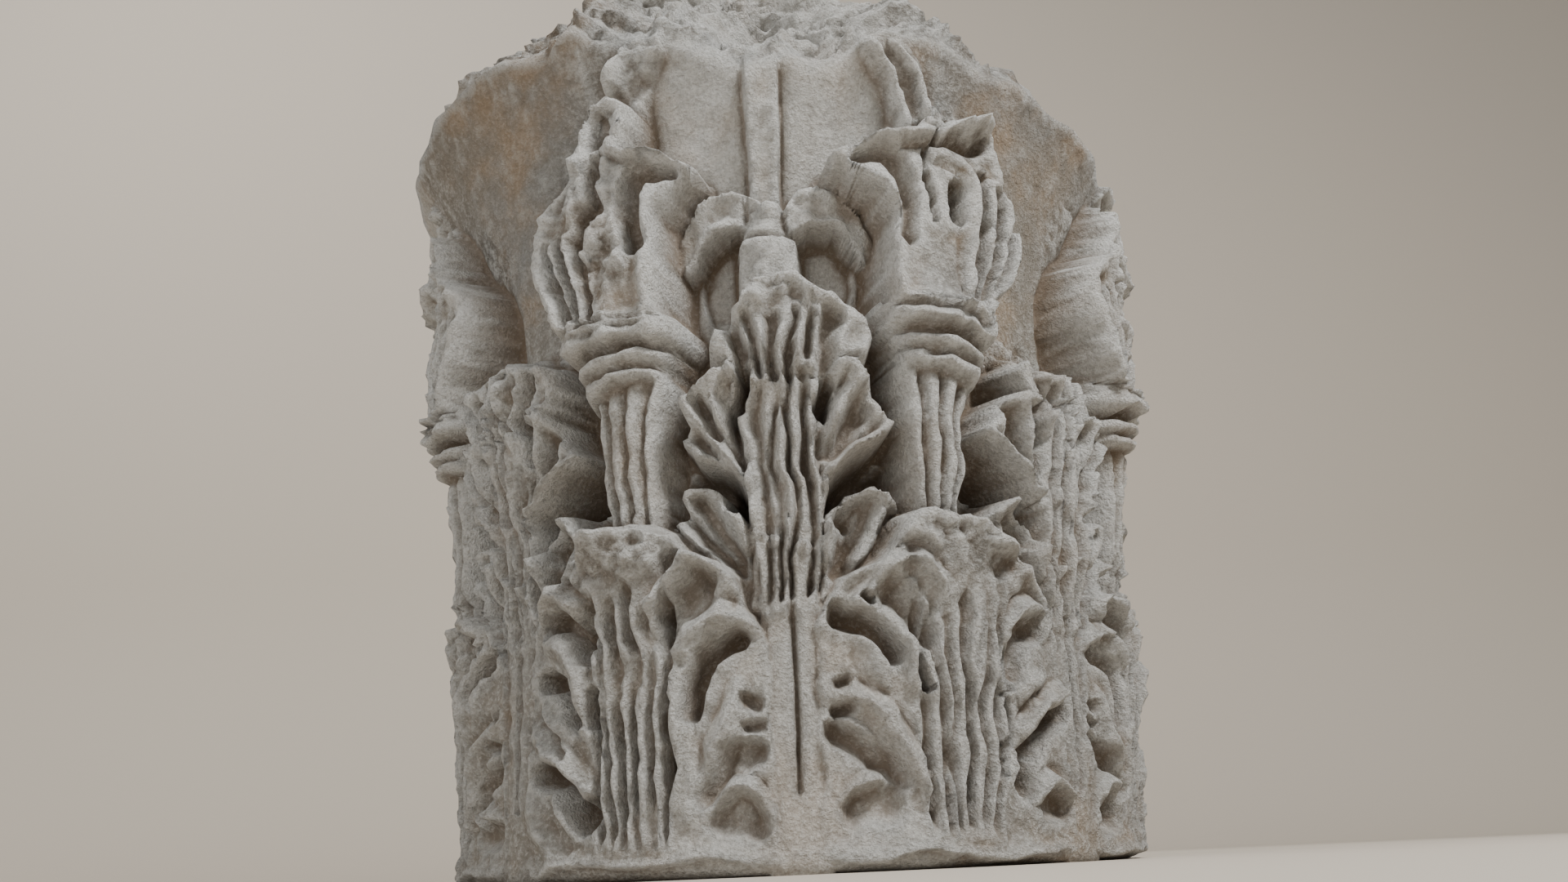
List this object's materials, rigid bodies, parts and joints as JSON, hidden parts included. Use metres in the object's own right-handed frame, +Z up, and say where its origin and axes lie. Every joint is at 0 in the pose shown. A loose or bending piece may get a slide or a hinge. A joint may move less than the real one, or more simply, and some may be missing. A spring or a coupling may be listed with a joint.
{
  "type": "corinthian capital",
  "caption": "Worn stone Corinthian capital with two rows of acanthus leaves, fluted stems and calyxes, its volutes, leaf tips and abacus broken away.",
  "frame": {"origin": "centre of the lower bed, the flat face that rests on the column shaft", "axes": "+Z up along the capital's axis, -Y towards the front face, +X to the right seen from the front"},
  "size_m": [0.6482, 0.6277, 0.702],
  "materials": {
    "marble": "matt weathered pale marble with brown dirt in the drilled hollows"
  },
  "bodies": {
    "root": {"capital": "marble"}
  },
  "joints": []
}
